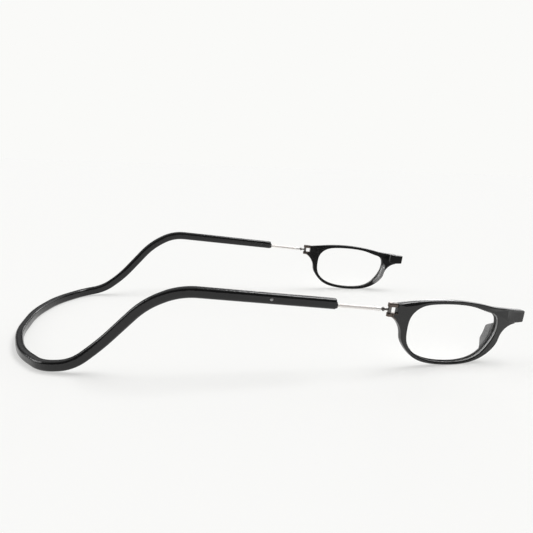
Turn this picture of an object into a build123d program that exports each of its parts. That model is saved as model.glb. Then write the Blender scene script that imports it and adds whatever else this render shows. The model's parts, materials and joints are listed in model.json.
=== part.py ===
"""Magnetic bridge reading glasses: a neckband with telescopic rods, two hinged half fronts and a
magnet in each half of the bridge. Wearer's right is -Y and the wearer faces +X. The glasses lie
open on the plane z = 0, on the neckband's loop and on the two rims."""

import os
from math import cos, radians, sin, sqrt, tan

from build123d import *

# Driving sizes in millimetres, angles in degrees
lens_width = 46.15
lens_height = 27.0
lens_centre_drop = 9.2
hinge_to_rim = 5.9
bridge_reach = 9.6
closing_gap = 0.25
toe_in = 4.26
arm_slope = 5.74

# Rim: widths beside the lens opening, depth and edges
rim_temple_width = 4.1
rim_nose_width = 4.25
rim_top_width = 1.8
rim_bottom_width = 1.6
rim_depth = 3.0
rim_edge = 0.4
groove_depth = 0.65
groove_front = 0.85

# Lens
lens_fit = 0.05
lens_front = 1.0
lens_back = 0.9
lens_radius = 400.0
blank_radius = 30.0

# Half bridge and its block
bridge_top = 3.7
bridge_bottom = 1.9
shoulder_in = 4.7
shoulder_top = 4.1
under_flat = 4.0
under_drop = 2.8
block_length = 8.5
block_front = 1.7
block_back = 2.4
block_edge = 0.7

# Nose pad behind the rim's nose side, whose tip runs along a share of its root
pad_root_width = 2.6
pad_tip_width = 1.9
pad_depth = 4.5
pad_tip_in = 1.0
pad_seat = 0.5
pad_tip_start_share = 0.17
pad_tip_middle_share = 0.355
pad_tip_end_share = 0.54

# Hinge: knuckles, slot, root, eye and screw
knuckle_radius = 1.1
knuckle_top = 3.1
hinge_slot = 2.6
hinge_root = 3.4
temple_arc_reach = 4.9
temple_arc_drop = 6.1
barrel_radius = 0.8
barrel_side_gap = 0.1
screw_radius = 0.45
screw_fit = 0.04
screw_head_radius = 0.75
screw_head_depth = 0.5
screw_slot_width = 0.3
screw_slot_depth = 0.25
neck_radius = 0.5
shoulder_radius = 0.95
shoulder_reach = 3.0
shoulder_width = 1.1
shoulder_edge = 0.3

# Rod, its ferrule and its inner collar
rod_radius = 0.85
rod_end_edge = 0.2
rod_shown = 24.9
rod_extend = 5.0
retract_gap = 0.3
ferrule_radius = 1.05
ferrule_front = 4.3
ferrule_length = 3.0
ferrule_edge = 0.2
ferrule_seat = 1.2
collar_radius = 1.15
collar_length = 3.0
stop_gap = 0.3
end_room = 1.0
press_gap = 0.02

# Neckband: section, route and arm ends
band_height = 4.7
band_width = 3.6
band_corner = 1.5
band_end_edge = 0.35
end_taper = 45.0
arm_rise = 0.6
crest_reach = 90.0
loop_reach = 165.0
bore_radius = 1.25
bend_share = 0.45

# Guide bush in the arm's mouth
bush_length = 12.0
bush_lip = 0.6
bush_lip_radius = 1.45
rod_fit = 0.06

# Stop pin in the arm's outer face
pin_reach = 28.4
pin_head_radius = 0.8
pin_head_depth = 0.3
pin_stand = 0.12
pin_radius = 0.5
pin_tip_gap = 0.07

# Magnet and its cup in the bridge end
magnet_radius = 1.35
magnet_length = 5.0
cup_wall = 0.25
cup_floor = 0.5

# Cuts run past a face by this much
overrun = 1.0

# Outline shares: across and up, from the middle of the outline's box, of its half width and height
opening_shares = [
    (1.0, 0.349),
    (0.937, 0.69),
    (0.731, 0.82),
    (0.478, 0.929),
    (0.01, 1.0),
    (-0.467, 0.957),
    (-0.805, 0.798),
    (-0.968, 0.486),
    (-1.0, 0.066),
    (-0.955, -0.387),
    (-0.769, -0.735),
    (-0.444, -0.947),
    (-0.022, -1.0),
    (0.352, -0.937),
    (0.681, -0.696),
    (0.885, -0.277),
]
rim_shares = [
    (1.0, 0.247),
    (0.97, 0.571),
    (0.827, 0.825),
    (0.551, 0.929),
    (0.256, 0.981),
    (-0.076, 1.0),
    (-0.444, 0.968),
    (-0.775, 0.896),
    (-0.974, 0.636),
    (-1.0, 0.149),
    (-0.949, -0.171),
    (-0.84, -0.52),
    (-0.651, -0.809),
    (-0.325, -0.977),
    (0.0, -1.0),
    (0.336, -0.944),
    (0.582, -0.809),
    (0.82, -0.507),
    (0.941, -0.118),
]
# Rim points that the web at the hinge and the half bridge run to
bridge_start_index = 3
brow_start_index = 7
temple_end_index = 10
nose_end_index = 18
# Points of the opening and of the rim that the nose pad's root runs between
pad_top_index = 0
pad_middle_indexes = (15, 18)
pad_low_indexes = (14, 17)
# Neckband route behind the crest: shares of loop_reach back, of the hinge spacing out and of the
# crest's rise up
route_shares = [
    (0.63, 0.94, 0.814),
    (0.739, 0.863, 0.286),
    (0.809, 0.871, 0.043),
    (0.885, 0.818, 0.0),
    (0.958, 0.584, 0.0),
    (1.0, 0.242, 0.0),
]

os.makedirs("parts", exist_ok=True)

# Directions at the right hinge: along the arm, along the open front, up the hinge and out of the
# front's face
slope = radians(arm_slope)
toe = radians(toe_in)
arm_way = Vector(cos(slope), 0, -sin(slope))
hinge_way = Vector(sin(slope), 0, cos(slope))
outward = Vector(0, -1, 0)
front_way = arm_way * cos(toe) - outward * sin(toe)
face_way = outward * cos(toe) + arm_way * sin(toe)

# Lens opening and rim boxes in the front's own plane, from the hinge axis
rim_left = hinge_to_rim
opening_left = rim_left + rim_temple_width
lens_centre_reach = opening_left + lens_width / 2
opening_right = opening_left + lens_width
rim_right = opening_right + rim_nose_width
frame_reach = rim_right + bridge_reach
opening_top = lens_height / 2 - lens_centre_drop
opening_bottom = -lens_height / 2 - lens_centre_drop
rim_top = opening_top + rim_top_width
rim_bottom = opening_bottom - rim_bottom_width


def outline_points(shares, left, right, bottom, top):
    """Points of a closed outline in the box left, right, bottom, top."""
    middle_across = (left + right) / 2
    middle_up = (bottom + top) / 2
    half_width = (right - left) / 2
    half_height = (top - bottom) / 2
    return [(middle_across + a * half_width, middle_up + u * half_height) for a, u in shares]


def opening_outline(grow):
    """Points of the lens opening's outline, moved out by grow."""
    return outline_points(
        opening_shares,
        opening_left - grow,
        opening_right + grow,
        opening_bottom - grow,
        opening_top + grow,
    )


rim_points = outline_points(rim_shares, rim_left, rim_right, rim_bottom, rim_top)


def between(indexes):
    """Point halfway from a point of the lens opening to a point of the rim."""
    inner, outer = indexes
    return (Vector(*opening_outline(0)[inner]) + Vector(*rim_points[outer])) / 2


# The rims stand on z = 0, which sets the height of the hinge
flat_front = Plane(origin=(0, 0, 0), x_dir=front_way, z_dir=face_way)
with BuildSketch(flat_front) as standing_rim:
    with BuildLine():
        Spline(*rim_points, periodic=True)
    make_face()
hinge_height = -standing_rim.sketch.bounding_box().min.Z

# The middle of the length is x = 0, which sets the hinge's place along X
hinge_half = frame_reach + closing_gap
end_corner = front_way * frame_reach + hinge_way * (bridge_top - block_edge) + face_way * block_front
hinge_x = (loop_reach + band_width / 2 - end_corner.X) / 2
right_hinge = Vector(hinge_x, -hinge_half, hinge_height)

front_plane = Plane(origin=right_hinge, x_dir=front_way, z_dir=face_way)
swing_plane = Plane(origin=right_hinge, x_dir=front_way, z_dir=hinge_way)
rod_axis = Axis(right_hinge, arm_way)
arm_mouth = Plane(origin=right_hinge - arm_way * rod_shown, x_dir=outward, z_dir=-arm_way)


def write_pair(right, name):
    """Writes a right-hand piece and its mirror image on the left."""
    with BuildPart() as left:
        mirror(right.part, about=Plane.XZ)
    right.part.label = name + "_right"
    left.part.label = name + "_left"
    export_step(right.part, "parts/" + right.part.label + ".step")
    export_step(left.part, "parts/" + left.part.label + ".step")


# Neckband: from the right arm's mouth over the ear, round the loop and back to the left arm
arm_centre = right_hinge + hinge_way * arm_rise
mouth_point = arm_centre - arm_way * rod_shown
crest_point = arm_centre - arm_way * (crest_reach / cos(slope))
loop_level = band_height / 2
crest_rise = crest_point.Z - loop_level
right_route = [mouth_point, crest_point]
for back, out, up in route_shares:
    place = Vector(hinge_x - back * loop_reach, -out * hinge_half, loop_level + up * crest_rise)
    right_route.append(place)
left_route = [Vector(p.X, -p.Y, p.Z) for p in reversed(right_route)]
band_route = right_route + left_route


def bend_radii(route):
    """Radius of each bend, as large as the two runs beside it allow."""
    radii = []
    for before, here, after in zip(route, route[1:], route[2:]):
        shorter_run = min((here - before).length, (after - here).length)
        half_turn = radians((here - before).get_angle(after - here)) / 2
        radii.append(bend_share * shorter_run / tan(half_turn))
    return radii


band_radii = bend_radii(band_route)
print("neckband bend radii", [round(r, 1) for r in band_radii])
tip_point = mouth_point - arm_way * band_end_edge
band_route[0] = tip_point
band_route[-1] = Vector(tip_point.X, -tip_point.Y, tip_point.Z)
tip_back = Plane(origin=tip_point, x_dir=outward, z_dir=-arm_way)
tip_front = Plane(origin=tip_point, x_dir=outward, z_dir=arm_way)

# Places along the arm, behind its mouth
pin_stop = pin_reach + pin_radius + stop_gap
collar_reach = pin_stop + rod_extend
rod_retract = rod_shown - bush_lip - ferrule_front - ferrule_length - retract_gap
bore_depth = collar_reach + collar_length + rod_retract + end_room
pin_plane = Plane(
    origin=mouth_point - arm_way * pin_reach, x_dir=arm_way, z_dir=outward
)
pin_face = band_width / 2
pin_tip = rod_radius + pin_tip_gap

with BuildPart() as arm_tip:
    with BuildSketch(tip_front):
        RectangleRounded(band_width, band_height, band_corner)
    extrude(amount=band_end_edge, taper=end_taper)

with BuildPart() as arm_hollows:
    with BuildSketch(arm_mouth.offset(-overrun)):
        Circle(bore_radius)
    extrude(amount=bore_depth + overrun)
    with BuildSketch(pin_plane.offset(pin_face - pin_head_depth)):
        Circle(pin_head_radius)
    extrude(amount=pin_head_depth + overrun)
    with BuildSketch(pin_plane):
        Circle(pin_radius)
    extrude(amount=pin_face)

with BuildPart() as neckband:
    with BuildLine():
        band_path = FilletPolyline(*band_route, radius=band_radii)
    with BuildSketch(tip_back):
        RectangleRounded(band_width, band_height, band_corner)
    sweep(path=band_path)
    add(arm_tip.part)
    mirror(arm_tip.part, about=Plane.XZ)
    add(arm_hollows.part, mode=Mode.SUBTRACT)
    mirror(arm_hollows.part, about=Plane.XZ, mode=Mode.SUBTRACT)
neckband.part.label = "neckband"
export_step(neckband.part, "parts/neckband.step")

# Guide bush: a sleeve in the arm's mouth whose lip stands out of it
with BuildPart() as guide_bush:
    with BuildSketch(arm_mouth):
        Circle(bore_radius - press_gap)
    extrude(amount=bush_length)
    with BuildSketch(arm_mouth):
        Circle(bush_lip_radius)
    extrude(amount=-bush_lip)
    with BuildSketch(arm_mouth.offset(-bush_lip)):
        Circle(rod_radius + rod_fit)
    extrude(amount=bush_lip + bush_length, mode=Mode.SUBTRACT)
write_pair(guide_bush, "guide_bush")

# Stop pin: a round head in the arm's outer face and a stem whose tip reaches past the bore's wall
with BuildPart() as stop_pin:
    with BuildSketch(pin_plane.offset(pin_face - pin_head_depth)):
        Circle(pin_head_radius - press_gap)
    extrude(amount=pin_head_depth + pin_stand)
    with BuildSketch(pin_plane.offset(pin_tip)):
        Circle(pin_radius - press_gap)
    extrude(amount=pin_face - pin_head_depth - pin_tip)
write_pair(stop_pin, "stop_pin")

# Rod: from the ferrule back into the arm
rod_front = ferrule_front + ferrule_length - ferrule_seat
rod_end = rod_shown + collar_reach + collar_length
with BuildPart() as temple_rod:
    with BuildSketch(Plane(right_hinge - arm_way * rod_front, x_dir=outward, z_dir=-arm_way)):
        Circle(rod_radius)
    extrude(amount=rod_end - rod_front)
    chamfer(temple_rod.faces().sort_by(rod_axis)[0].edges(), rod_end_edge)
write_pair(temple_rod, "temple_rod")

# Collar on the rod's inner end
collar_plane = arm_mouth.offset(collar_reach)
with BuildPart() as rod_collar:
    with BuildSketch(collar_plane):
        Circle(collar_radius)
        Circle(rod_radius + press_gap, mode=Mode.SUBTRACT)
    extrude(amount=collar_length)
write_pair(rod_collar, "rod_collar")

# Ferrule on the rod's front end, bored for the rod at the back and for the eye's neck at the front
with BuildPart() as rod_ferrule:
    with BuildSketch(Plane(right_hinge - arm_way * ferrule_front, x_dir=outward, z_dir=-arm_way)):
        Circle(ferrule_radius)
    extrude(amount=ferrule_length)
    ferrule_ends = rod_ferrule.faces().filter_by(GeomType.PLANE)
    chamfer(ferrule_ends.edges(), ferrule_edge)
    with BuildSketch(Plane(right_hinge - arm_way * ferrule_front, x_dir=outward, z_dir=-arm_way)):
        Circle(neck_radius + press_gap)
    extrude(amount=ferrule_length, mode=Mode.SUBTRACT)
    with BuildSketch(Plane(right_hinge - arm_way * rod_front, x_dir=outward, z_dir=-arm_way)):
        Circle(rod_radius + press_gap)
    extrude(amount=ferrule_length, mode=Mode.SUBTRACT)
write_pair(rod_ferrule, "rod_ferrule")

# Eye: barrel on the screw, then a neck with a shoulder, whose end is held in the ferrule
barrel_height = hinge_slot - 2 * barrel_side_gap
with BuildPart() as hinge_eye:
    with BuildSketch(Plane(right_hinge, x_dir=outward, z_dir=-arm_way)):
        Circle(neck_radius)
    extrude(amount=rod_front)
    with BuildSketch(
        Plane(right_hinge - arm_way * shoulder_reach, x_dir=outward, z_dir=-arm_way)
    ):
        Circle(shoulder_radius)
    extrude(amount=shoulder_width / 2, both=True)
    shoulder_rims = hinge_eye.edges().filter_by(GeomType.CIRCLE).group_by(SortBy.RADIUS)[-1]
    chamfer(shoulder_rims, shoulder_edge)
    with BuildSketch(swing_plane):
        Circle(barrel_radius)
    extrude(amount=barrel_height / 2, both=True)
    with BuildSketch(swing_plane):
        Circle(screw_radius + screw_fit)
    extrude(amount=barrel_height, both=True, mode=Mode.SUBTRACT)
write_pair(hinge_eye, "hinge_eye")

# Screw: its head is let into the upper knuckle, and its stem ends flush with the lower one
with BuildPart() as hinge_screw:
    with BuildSketch(swing_plane.offset(-knuckle_top)):
        Circle(screw_radius)
    extrude(amount=2 * knuckle_top)
    with BuildSketch(swing_plane.offset(knuckle_top - screw_head_depth)):
        Circle(screw_head_radius)
    extrude(amount=screw_head_depth)
    with BuildSketch(swing_plane.offset(knuckle_top - screw_slot_depth)):
        Rectangle(2 * knuckle_radius, screw_slot_width)
    extrude(amount=screw_slot_depth, mode=Mode.SUBTRACT)
write_pair(hinge_screw, "hinge_screw")

# Lens: a round blank, flat at the back and slightly domed in front, edged to the groove's outline
lens_middle = right_hinge + front_way * lens_centre_reach - hinge_way * lens_centre_drop
blank_plane = Plane(origin=lens_middle, x_dir=front_way, z_dir=-hinge_way)
blank_fall = lens_radius - sqrt(lens_radius**2 - blank_radius**2)
with BuildPart() as lens_blank:
    with BuildSketch(blank_plane):
        with BuildLine():
            Polyline(
                (0, lens_front),
                (0, -lens_back),
                (blank_radius, -lens_back),
                (blank_radius, lens_front - blank_fall),
            )
            RadiusArc((0, lens_front), (blank_radius, lens_front - blank_fall), lens_radius)
        make_face()
    revolve(axis=Axis(lens_middle, face_way))
with BuildPart() as lens:
    with BuildSketch(front_plane.offset(-rim_depth)):
        with BuildLine():
            Spline(*opening_outline(groove_depth - lens_fit), periodic=True)
        make_face()
    extrude(amount=2 * rim_depth)
    add(lens_blank.part, mode=Mode.INTERSECT)
write_pair(lens, "lens")

# Lens frame: rim, hinge knuckles, half bridge and nose pad in one moulding
half_depth = rim_depth / 2
half_slot = hinge_slot / 2
brow_start = rim_points[brow_start_index]
temple_end = rim_points[temple_end_index]
nose_end = rim_points[nose_end_index]
end_plane = Plane(
    origin=right_hinge + front_way * frame_reach, x_dir=-face_way, z_dir=front_way
)
block_middle = ((block_back - block_front) / 2, (bridge_top - bridge_bottom) / 2)
opening_points = opening_outline(0)
pad_top = Vector(*opening_points[pad_top_index]) + Vector(pad_root_width / 2, 0)
pad_middle = between(pad_middle_indexes)
pad_low = between(pad_low_indexes)
root_top = (hinge_root, knuckle_top)
root_bottom = (knuckle_radius, -knuckle_top)
shoulder = (rim_right - shoulder_in, shoulder_top)
under = (frame_reach - under_flat, -under_drop)
with BuildPart() as lens_frame:
    with BuildSketch(front_plane.offset(-half_depth)):
        with BuildLine():
            temple_arc = ThreePointArc(
                root_bottom, (temple_arc_reach, -temple_arc_drop), temple_end
            )
            bridge_line = Polyline(
                under, (frame_reach, -bridge_bottom), (frame_reach, bridge_top), shoulder
            )
            nose_arc = TangentArc(under, nose_end, tangent=-(bridge_line % 0))
            Spline(
                *rim_points[temple_end_index : nose_end_index + 1],
                tangents=(temple_arc % 1, -(nose_arc % 1)),
            )
            root_line = Polyline(
                brow_start,
                root_top,
                (hinge_root, -half_slot),
                (knuckle_radius, -half_slot),
                root_bottom,
            )
            Spline(
                shoulder,
                *rim_points[bridge_start_index : brow_start_index + 1],
                tangents=(bridge_line % 1, root_line % 0),
            )
        make_face()
        with BuildLine():
            Spline(*opening_outline(0), periodic=True)
        make_face(mode=Mode.SUBTRACT)
    extrude(amount=rim_depth)
    depth_edges = lens_frame.edges().filter_by(Axis(right_hinge, face_way), reverse=True)
    chamfer(depth_edges, rim_edge)
    with BuildSketch(front_plane.offset(-lens_back - lens_fit)):
        with BuildLine():
            Spline(*opening_outline(groove_depth), periodic=True)
        make_face()
    extrude(amount=lens_back + groove_front + lens_fit, mode=Mode.SUBTRACT)
    with BuildSketch(swing_plane.offset(-knuckle_top)):
        Circle(knuckle_radius)
        with Locations((hinge_root / 2, 0)):
            Rectangle(hinge_root, 2 * knuckle_radius)
    extrude(amount=knuckle_top - half_slot)
    with BuildSketch(swing_plane.offset(half_slot)):
        Circle(knuckle_radius)
        with Locations((hinge_root / 2, 0)):
            Rectangle(hinge_root, 2 * knuckle_radius)
    extrude(amount=knuckle_top - half_slot)
    with BuildSketch(swing_plane.offset(-knuckle_top)):
        Circle(screw_radius + press_gap)
    extrude(amount=2 * knuckle_top, mode=Mode.SUBTRACT)
    with BuildSketch(swing_plane.offset(knuckle_top - screw_head_depth)):
        Circle(screw_head_radius + press_gap)
    extrude(amount=screw_head_depth, mode=Mode.SUBTRACT)
    with BuildSketch(end_plane):
        with Locations(block_middle):
            RectangleRounded(block_front + block_back, bridge_top + bridge_bottom, block_edge)
    extrude(amount=-block_length)
    with BuildSketch(end_plane):
        with Locations(block_middle):
            Circle(magnet_radius + cup_wall + 2 * press_gap)
    extrude(amount=-magnet_length - cup_floor - press_gap, mode=Mode.SUBTRACT)
    with BuildSketch(front_plane.offset(-half_depth + pad_seat)):
        with BuildLine(mode=Mode.PRIVATE):
            pad_root = ThreePointArc(pad_top, pad_middle, pad_low)
        SlotArc(pad_root, pad_root_width)
    with BuildSketch(front_plane.offset(-half_depth - pad_depth)):
        with BuildLine(mode=Mode.PRIVATE):
            pad_tip = ThreePointArc(
                pad_root @ pad_tip_start_share - Vector(pad_tip_in, 0),
                pad_root @ pad_tip_middle_share - Vector(pad_tip_in, 0),
                pad_root @ pad_tip_end_share - Vector(pad_tip_in, 0),
            )
        SlotArc(pad_tip, pad_tip_width)
    loft()
write_pair(lens_frame, "lens_frame")

# Magnet and the steel cup round it, flush with the bridge's end
with BuildPart() as magnet_cup:
    with BuildSketch(end_plane):
        with Locations(block_middle):
            Circle(magnet_radius + cup_wall + press_gap)
    extrude(amount=-magnet_length - cup_floor)
    with BuildSketch(end_plane):
        with Locations(block_middle):
            Circle(magnet_radius + press_gap)
    extrude(amount=-magnet_length, mode=Mode.SUBTRACT)
write_pair(magnet_cup, "magnet_cup")
with BuildPart() as magnet:
    with BuildSketch(end_plane):
        with Locations(block_middle):
            Circle(magnet_radius)
    extrude(amount=-magnet_length)
write_pair(magnet, "magnet")
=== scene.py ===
"""Magnetic bridge reading glasses, lying open on a pale table: a moulded neckband with bright rods
that slide in its arms, and two hinged half fronts. Metres, +X forward, +Z up."""
import json
from math import atan2, copysign, cos, pi, radians, sin, tan

import bmesh
import bpy
import numpy as np
from mathutils import Matrix, Vector
from mathutils.geometry import tessellate_polygon


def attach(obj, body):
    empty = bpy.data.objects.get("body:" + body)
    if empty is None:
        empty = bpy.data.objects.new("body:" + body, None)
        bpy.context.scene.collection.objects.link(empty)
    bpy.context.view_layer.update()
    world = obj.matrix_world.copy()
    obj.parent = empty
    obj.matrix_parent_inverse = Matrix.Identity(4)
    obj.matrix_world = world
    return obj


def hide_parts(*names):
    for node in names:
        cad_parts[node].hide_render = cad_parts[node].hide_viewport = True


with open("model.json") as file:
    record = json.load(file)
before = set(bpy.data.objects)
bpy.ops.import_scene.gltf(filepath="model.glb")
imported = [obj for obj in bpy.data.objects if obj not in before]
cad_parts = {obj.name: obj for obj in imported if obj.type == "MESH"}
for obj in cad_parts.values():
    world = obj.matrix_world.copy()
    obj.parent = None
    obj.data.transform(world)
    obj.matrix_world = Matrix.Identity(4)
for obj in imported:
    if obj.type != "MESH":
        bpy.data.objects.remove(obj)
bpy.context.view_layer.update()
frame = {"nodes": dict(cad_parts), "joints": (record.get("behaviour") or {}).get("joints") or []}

# Neckband. One moulding in black semi-soft plastic: straight hollow arms, a crest over each ear
# and a loop behind the neck. The mould leaves a faint ripple that shows where light grazes it.


def finish(name, colour, roughness, metallic=0.0):
    """A material whose shader has these plain values, with its nodes and links."""
    material = bpy.data.materials.new(name)
    material.use_nodes = True
    nodes, links = material.node_tree.nodes, material.node_tree.links
    shader = nodes["Principled BSDF"]
    shader.inputs["Base Color"].default_value = (*colour, 1)
    shader.inputs["Roughness"].default_value = roughness
    shader.inputs["Metallic"].default_value = metallic
    return material, shader, nodes, links


def shared_group(name, inputs, outputs):
    """A shader node group with named inputs (name, default) and named outputs (name, kind)."""
    group = bpy.data.node_groups.new(name, "ShaderNodeTree")
    for label, default in inputs:
        socket = group.interface.new_socket(label, in_out="INPUT", socket_type="NodeSocketFloat")
        socket.default_value = default
    for label, kind in outputs:
        group.interface.new_socket(label, in_out="OUTPUT", socket_type=kind)
    start = group.nodes.new("NodeGroupInput")
    end = group.nodes.new("NodeGroupOutput")
    return group, start, end


def make_moulded_skin():
    """Skin of a moulding: a slow ripple and a fine grain as height, and patches of gloss."""
    group, start, end = shared_group(
        "moulded_skin",
        [("Ripple Scale", 60.0), ("Ripple", 0.5), ("Grain Scale", 2500.0), ("Grain", 0.2),
         ("Dull", 0.3), ("Bright", 0.4)],
        [("Height", "NodeSocketFloat"), ("Roughness", "NodeSocketFloat")],
    )
    nodes, links = group.nodes, group.links
    place = nodes.new("ShaderNodeTexCoord")
    ripple = nodes.new("ShaderNodeTexNoise")
    ripple.inputs["Detail"].default_value = 2
    grain = nodes.new("ShaderNodeTexNoise")
    grain.inputs["Detail"].default_value = 3
    links.new(place.outputs["Object"], ripple.inputs["Vector"])
    links.new(place.outputs["Object"], grain.inputs["Vector"])
    links.new(start.outputs["Ripple Scale"], ripple.inputs["Scale"])
    links.new(start.outputs["Grain Scale"], grain.inputs["Scale"])
    slow = nodes.new("ShaderNodeMath")
    slow.operation = "MULTIPLY"
    links.new(ripple.outputs["Fac"], slow.inputs[0])
    links.new(start.outputs["Ripple"], slow.inputs[1])
    fine = nodes.new("ShaderNodeMath")
    fine.operation = "MULTIPLY_ADD"
    links.new(grain.outputs["Fac"], fine.inputs[0])
    links.new(start.outputs["Grain"], fine.inputs[1])
    links.new(slow.outputs[0], fine.inputs[2])
    links.new(fine.outputs[0], end.inputs["Height"])
    gloss = nodes.new("ShaderNodeMapRange")
    links.new(ripple.outputs["Fac"], gloss.inputs["Value"])
    gloss.inputs["From Min"].default_value = 0.3
    gloss.inputs["From Max"].default_value = 0.7
    links.new(start.outputs["Dull"], gloss.inputs["To Min"])
    links.new(start.outputs["Bright"], gloss.inputs["To Max"])
    links.new(gloss.outputs["Result"], end.inputs["Roughness"])


def add_skin(nodes, links, shader, strength, distance, **values):
    """Places the moulded skin in a material: its height as a bump and its gloss as roughness."""
    skin = nodes.new("ShaderNodeGroup")
    skin.node_tree = bpy.data.node_groups["moulded_skin"]
    for label, value in values.items():
        skin.inputs[label.replace("_", " ")].default_value = value
    bump = nodes.new("ShaderNodeBump")
    bump.inputs["Strength"].default_value = strength
    bump.inputs["Distance"].default_value = distance
    links.new(skin.outputs["Height"], bump.inputs["Height"])
    links.new(bump.outputs["Normal"], shader.inputs["Normal"])
    links.new(skin.outputs["Roughness"], shader.inputs["Roughness"])


def rounded(route, share):
    """A route whose corners are arcs that take this share of the shorter run beside them."""
    least_steps, step_turn = 4, radians(1.5)
    line = [route[0]]
    for before, here, after in zip(route, route[1:], route[2:]):
        back, on = before - here, after - here
        cut = share * min(back.length, on.length)
        half_turn = (pi - back.angle(on)) / 2
        radius = cut / tan(half_turn)
        middle = (back.normalized() + on.normalized()).normalized() * radius / cos(half_turn)
        start, stop = back.normalized() * cut - middle, on.normalized() * cut - middle
        steps = max(least_steps, round(half_turn / step_turn))
        for step in range(steps + 1):
            turn = step / steps * 2 * half_turn
            place = start * sin(2 * half_turn - turn) + stop * sin(turn)
            line.append(here + middle + place / sin(2 * half_turn))
    return line + [route[-1]]


def plain_mesh(obj):
    """Turns an object's evaluated result into a new plain mesh object and removes the old one."""
    bpy.context.view_layer.update()
    graph = bpy.context.evaluated_depsgraph_get()
    mesh = bpy.data.meshes.new_from_object(obj.evaluated_get(graph))
    name = obj.name
    bpy.data.objects.remove(obj)
    piece = bpy.data.objects.new(name, mesh)
    mesh.name = name
    bpy.context.collection.objects.link(piece)
    return piece


def tube_rows(rows):
    """Vertices and faces of a tube through rows of points, with its two ends closed."""
    count = len(rows[0])
    verts = [point for row in rows for point in row]
    faces = []
    for row in range(len(rows) - 1):
        for place in range(count):
            after = (place + 1) % count
            near, far = row * count, (row + 1) * count
            faces.append((near + place, near + after, far + after, far + place))
    faces.append(tuple(reversed(range(count))))
    faces.append(tuple(range(len(verts) - count, len(verts))))
    return verts, faces


def mesh_piece(name, parts):
    """One object from several closed lists of vertices and faces, all facing outwards."""
    mould = bmesh.new()
    for verts, faces in parts:
        made = [mould.verts.new(point) for point in verts]
        for face in faces:
            mould.faces.new([made[index] for index in face])
    bmesh.ops.recalc_face_normals(mould, faces=mould.faces)
    mesh = bpy.data.meshes.new(name)
    mould.to_mesh(mesh)
    mould.free()
    piece = bpy.data.objects.new(name, mesh)
    bpy.context.collection.objects.link(piece)
    return piece


def smooth_faces(piece, sharpest):
    """Shades a piece smooth, apart from edges that turn by more than this many degrees."""
    piece.data.shade_smooth()
    piece.data.set_sharp_from_angle(angle=radians(sharpest))


def cut_or_join(piece, other, way):
    """Applies another closed mesh to a piece, as a cut or as a union, and removes the other."""
    step = piece.modifiers.new(way.lower(), "BOOLEAN")
    step.operation = way
    step.solver = "MANIFOLD"
    step.object = other
    piece = plain_mesh(piece)
    bpy.data.objects.remove(other)
    return piece


def ring(centre, side, rise, radius, count=48):
    """Points round a circle, from side towards rise."""
    turns = [2 * pi * n / count for n in range(count)]
    return [centre + (side * cos(turn) + rise * sin(turn)) * radius for turn in turns]


def round_bar(start, way, length, radius):
    """Vertices and faces of a round bar from start along way."""
    side = way.orthogonal().normalized()
    rise = way.cross(side)
    return tube_rows([ring(start + way * reach, side, rise, radius) for reach in (0, length)])


def swept_band_tree():
    """Sweeps a rounded section along a curve, upright all the way, and closes its ends."""
    tree = bpy.data.node_groups.new("swept_band", "GeometryNodeTree")
    tree.interface.new_socket("Route", in_out="INPUT", socket_type="NodeSocketGeometry")
    for label in ("Width", "Height", "Corner"):
        tree.interface.new_socket(label, in_out="INPUT", socket_type="NodeSocketFloat")
    tree.interface.new_socket("Plastic", in_out="INPUT", socket_type="NodeSocketMaterial")
    tree.interface.new_socket("Band", in_out="OUTPUT", socket_type="NodeSocketGeometry")
    nodes, links = tree.nodes, tree.links
    start, end = nodes.new("NodeGroupInput"), nodes.new("NodeGroupOutput")
    upright = nodes.new("GeometryNodeSetCurveNormal")
    upright.mode = "Z_UP"
    links.new(start.outputs["Route"], upright.inputs["Curve"])
    section = nodes.new("GeometryNodeCurvePrimitiveQuadrilateral")
    links.new(start.outputs["Width"], section.inputs["Width"])
    links.new(start.outputs["Height"], section.inputs["Height"])
    corners = nodes.new("GeometryNodeFilletCurve")
    corners.mode = "POLY"
    corners.inputs["Count"].default_value = 10
    links.new(section.outputs["Curve"], corners.inputs["Curve"])
    links.new(start.outputs["Corner"], corners.inputs["Radius"])
    sweep = nodes.new("GeometryNodeCurveToMesh")
    sweep.inputs["Fill Caps"].default_value = True
    links.new(upright.outputs["Curve"], sweep.inputs["Curve"])
    links.new(corners.outputs["Curve"], sweep.inputs["Profile Curve"])
    radius = nodes.new("GeometryNodeInputRadius")
    links.new(radius.outputs["Radius"], sweep.inputs["Scale"])
    real = nodes.new("GeometryNodeRealizeInstances")
    links.new(sweep.outputs["Mesh"], real.inputs["Geometry"])
    cover = nodes.new("GeometryNodeSetMaterial")
    links.new(real.outputs["Geometry"], cover.inputs["Geometry"])
    links.new(start.outputs["Plastic"], cover.inputs["Material"])
    links.new(cover.outputs["Geometry"], end.inputs["Band"])
    return tree


mm = 0.001
joints = {joint["name"]: joint for joint in frame["joints"]}
right_hinge = Vector(joints["hinge_right"]["pos_m"]) / mm
hinge_way = Vector(joints["hinge_right"]["axis"]).normalized()
arm_way = Vector(joints["rod_slide_right"]["axis"]).normalized()
outward = Vector((0, -1, 0))

make_moulded_skin()
band_black, shader, nodes, links = finish("band_black", (0.006, 0.006, 0.0065), 0.3)
shader.inputs["Specular IOR Level"].default_value = 0.45
add_skin(nodes, links, shader, 0.8, 0.0002, Ripple_Scale=700.0, Ripple=0.5, Grain_Scale=3000.0,
         Grain=0.05, Dull=0.12, Bright=0.24)

band_width, band_height, band_corner = 3.6, 4.7, 1.5
mouth_reach, crest_reach, loop_reach = 24.9, 90.0, 165.0
arm_rise, bend_share, lip_length = 0.6, 0.45, 0.5
arm_centre = right_hinge + hinge_way * arm_rise
mouth = arm_centre - arm_way * mouth_reach
crest = arm_centre - arm_way * (crest_reach / arm_way.x)
loop_level = band_height / 2
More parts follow.
